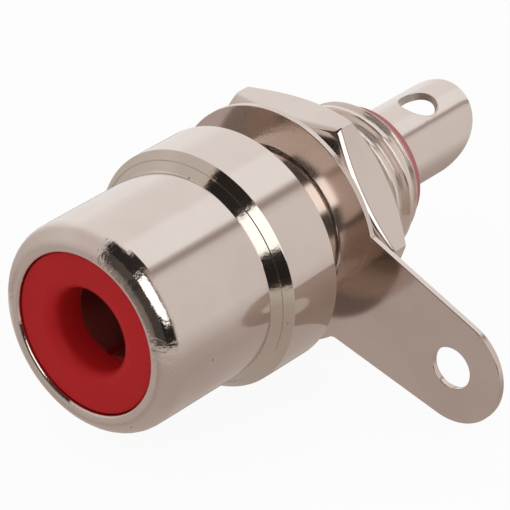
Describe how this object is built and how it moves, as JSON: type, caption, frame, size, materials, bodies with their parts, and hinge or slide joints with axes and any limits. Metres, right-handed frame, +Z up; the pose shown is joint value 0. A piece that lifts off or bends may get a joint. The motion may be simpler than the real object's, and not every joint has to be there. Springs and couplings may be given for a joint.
{
  "type": "rca panel socket",
  "caption": "Panel socket for a phono plug: lipped barrel, red insulator, flange, threaded shank, ground lug with a wire hole, hex nut and half-round solder tag.",
  "frame": {"origin": "on the socket's axis, in the plane of the flange's back face, which is the front surface of the panel", "axes": "+Y runs from the mouth to the solder tag, so the mouth faces -Y; +Z is up as the socket lies in the picture, with the ground lug's tail towards +X and a little down"},
  "size_m": [0.0159, 0.0215, 0.0101],
  "materials": {
    "nickel_plate": "polished nickel plate on turned brass",
    "nut_plate": "nickel plate on brass",
    "lug_plate": "nickel plate on stamped strip",
    "tinned_strip": "plated rolled strip",
    "red_plastic": "moulded, slight gloss"
  },
  "bodies": {
    "socket": {"shell": "nickel_plate", "front_insulator": "red_plastic", "rear_insulator": "red_plastic", "centre_contact": "tinned_strip"},
    "lug": {"ground_lug": "lug_plate"},
    "nut": {"hex_nut": "nut_plate"}
  },
  "joints": [
    {"name": "lug_slide", "type": "slide", "parent": "socket", "child": "lug", "axis": [0, -1, 0], "range_m": [-0.00236, 0.00028]},
    {"name": "nut_turn", "type": "hinge", "parent": "lug", "child": "nut", "pos_m": [0, 0.00336, 0], "axis": [0, -1, 0], "range_deg": [-1071, 127]}
  ],
  "couplings": [
    {"joint": "nut_turn", "follows": "lug_slide", "rad_per_m": 7915.8}
  ]
}
